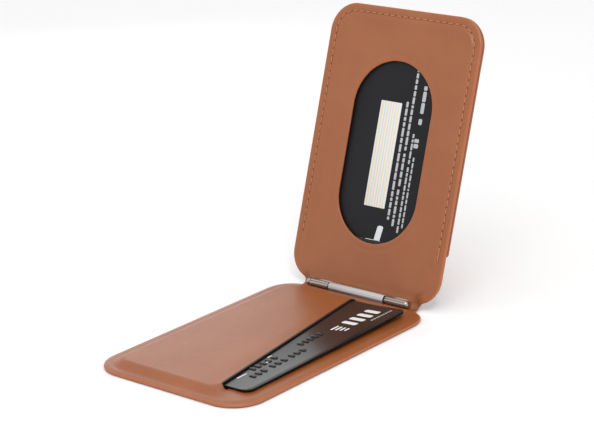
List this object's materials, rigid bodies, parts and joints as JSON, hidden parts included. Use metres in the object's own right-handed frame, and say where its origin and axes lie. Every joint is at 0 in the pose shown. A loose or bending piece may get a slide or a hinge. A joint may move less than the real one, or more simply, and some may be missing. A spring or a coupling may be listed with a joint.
{
  "type": "hinged magnetic card wallet stand",
  "caption": "Slim tan leather card wallet: a magnetic base leaf and a windowed flap joined by a metal friction hinge, opening into a phone stand.",
  "frame": {"origin": "centre of the base leaf's rounded rectangle, on its magnetic face that lies against the handset", "axes": "+X along the hinge, +Y from the free end of the base leaf to the hinge, +Z away from the handset; the flap is stored 108 degrees open"},
  "size_m": [0.0668, 0.1401, 0.1006],
  "materials": {
    "tan_leather": "smooth satin, fine grain",
    "microfibre": "matte brushed microfibre",
    "fibreboard": "matte pressed board",
    "magnet": "nickel-plated magnet, satin",
    "steel": "plain spring steel",
    "hinge_nickel": "brushed nickel plate",
    "cap_nickel": "polished nickel plate",
    "dark_steel": "blackened steel",
    "thread": "waxed polyester thread",
    "card_black": "glossy black-brown card",
    "card_charcoal": "satin charcoal card"
  },
  "bodies": {
    "base": {"base_front_leather": "tan_leather", "base_liner": "microfibre", "base_core_board": "fibreboard", "ring_magnet_01": "magnet", "ring_magnet_02": "magnet", "ring_magnet_03": "magnet", "ring_magnet_04": "magnet", "ring_magnet_05": "magnet", "ring_magnet_06": "magnet", "ring_magnet_07": "magnet", "ring_magnet_08": "magnet", "ring_magnet_09": "magnet", "ring_magnet_10": "magnet", "ring_magnet_11": "magnet", "ring_magnet_12": "magnet", "ring_magnet_13": "magnet", "ring_magnet_14": "magnet", "ring_magnet_15": "magnet", "ring_magnet_16": "magnet", "magnet_shield_ring": "steel", "alignment_magnet": "magnet", "hinge_base_leaf": "hinge_nickel", "base_rivet_left": "steel", "base_rivet_right": "steel", "friction_band_1": "steel", "friction_band_2": "steel", "friction_band_3": "steel", "hinge_neck": "tan_leather"},
    "flap": {"flap_front_leather": "tan_leather", "hinge_flap_leaf": "hinge_nickel", "flap_steel_stiffener": "steel", "flap_rivet_left": "steel", "flap_rivet_right": "steel", "flap_lower_lining": "tan_leather", "flap_pocket_spacer": "fibreboard", "flap_back_leather": "tan_leather", "flap_thread_front": "thread", "flap_thread_back": "thread", "hinge_pin": "steel", "pin_cap_right": "cap_nickel", "pin_cap_left": "cap_nickel", "hinge_washer_left": "dark_steel", "hinge_washer_right": "dark_steel"},
    "base_card": {"base_card": "card_black"},
    "flap_card": {"flap_card": "card_charcoal"}
  },
  "joints": [
    {"name": "flap_hinge", "type": "hinge", "parent": "base", "child": "flap", "pos_m": [0, 0.0519, 0.00266], "axis": [-1, 0, 0], "range_deg": [-108, 57], "deforming": ["hinge_neck"]},
    {"name": "base_card_slide", "type": "slide", "parent": "base", "child": "base_card", "axis": [1, 0, 0], "range_m": [0, 0.05]},
    {"name": "flap_card_slide", "type": "slide", "parent": "flap", "child": "flap_card", "axis": [0, -0.309, -0.9511], "range_m": [0, 0.012]}
  ]
}
